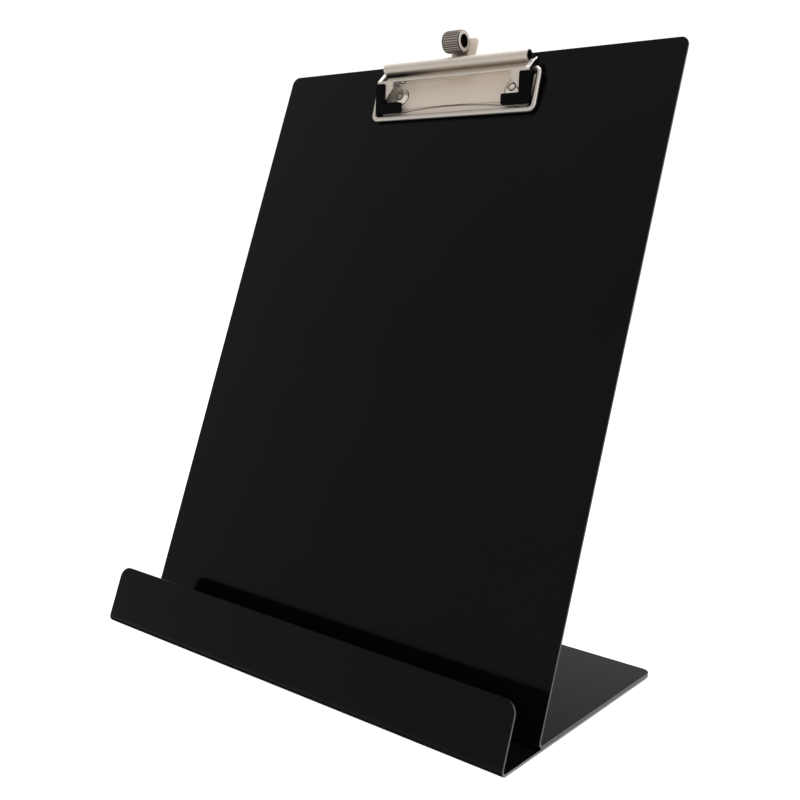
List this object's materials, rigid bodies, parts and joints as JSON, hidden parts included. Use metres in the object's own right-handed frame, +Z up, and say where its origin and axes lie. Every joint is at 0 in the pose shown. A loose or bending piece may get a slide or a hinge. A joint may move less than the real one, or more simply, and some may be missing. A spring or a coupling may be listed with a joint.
{
  "type": "clipboard stand",
  "caption": "Free-standing clipboard stand: bent sheet tray with a front lip, a leaning board and a sprung bow clip with a pen loop and a sliding hanging tab.",
  "frame": {"origin": "centre of the base on the floor, under the feet", "axes": "+X to the viewer's right, +Y to the back, +Z up"},
  "size_m": [0.229, 0.141, 0.3062],
  "materials": {
    "black_sheet": "satin black, bare grey at the cut edges",
    "nickel": "polished, lightly worn",
    "spring_steel": "drawn wire",
    "washer_steel": "satin",
    "guard_plastic": "matte",
    "rubber": "matte",
    "tape": "matte foam"
  },
  "bodies": {
    "stand": {"base_tray": "black_sheet", "back_board": "black_sheet", "bond_tape_front": "tape", "bond_tape_rear": "tape", "rubber_foot_front_left": "rubber", "rubber_foot_front_right": "rubber", "rubber_foot_rear_left": "rubber", "rubber_foot_rear_right": "rubber", "clip_base": "nickel", "clip_rivet_left": "nickel", "clip_rivet_right": "nickel", "rivet_washer_left": "washer_steel", "rivet_washer_right": "washer_steel", "spring_left": "spring_steel", "spring_right": "spring_steel", "pen_loop": "nickel", "slide_rivet": "nickel"},
    "lever": {"clip_lever": "nickel", "bow_wire": "nickel", "corner_guard_left": "guard_plastic", "corner_guard_right": "guard_plastic"},
    "hanger": {"hanger_tab": "nickel"}
  },
  "joints": [
    {"name": "lever_hinge", "type": "hinge", "parent": "stand", "child": "lever", "pos_m": [0, 0.03354, 0.28381], "axis": [-1, 0, 0], "range_deg": [0, 13], "stiffness_Nm_per_rad": 0.08, "springref_deg": -45.84, "deforming": ["spring_left", "spring_right"]},
    {"name": "hanger_slide", "type": "slide", "parent": "stand", "child": "hanger", "axis": [0, 0.2756, 0.9613], "range_m": [-0.008, 0]}
  ]
}
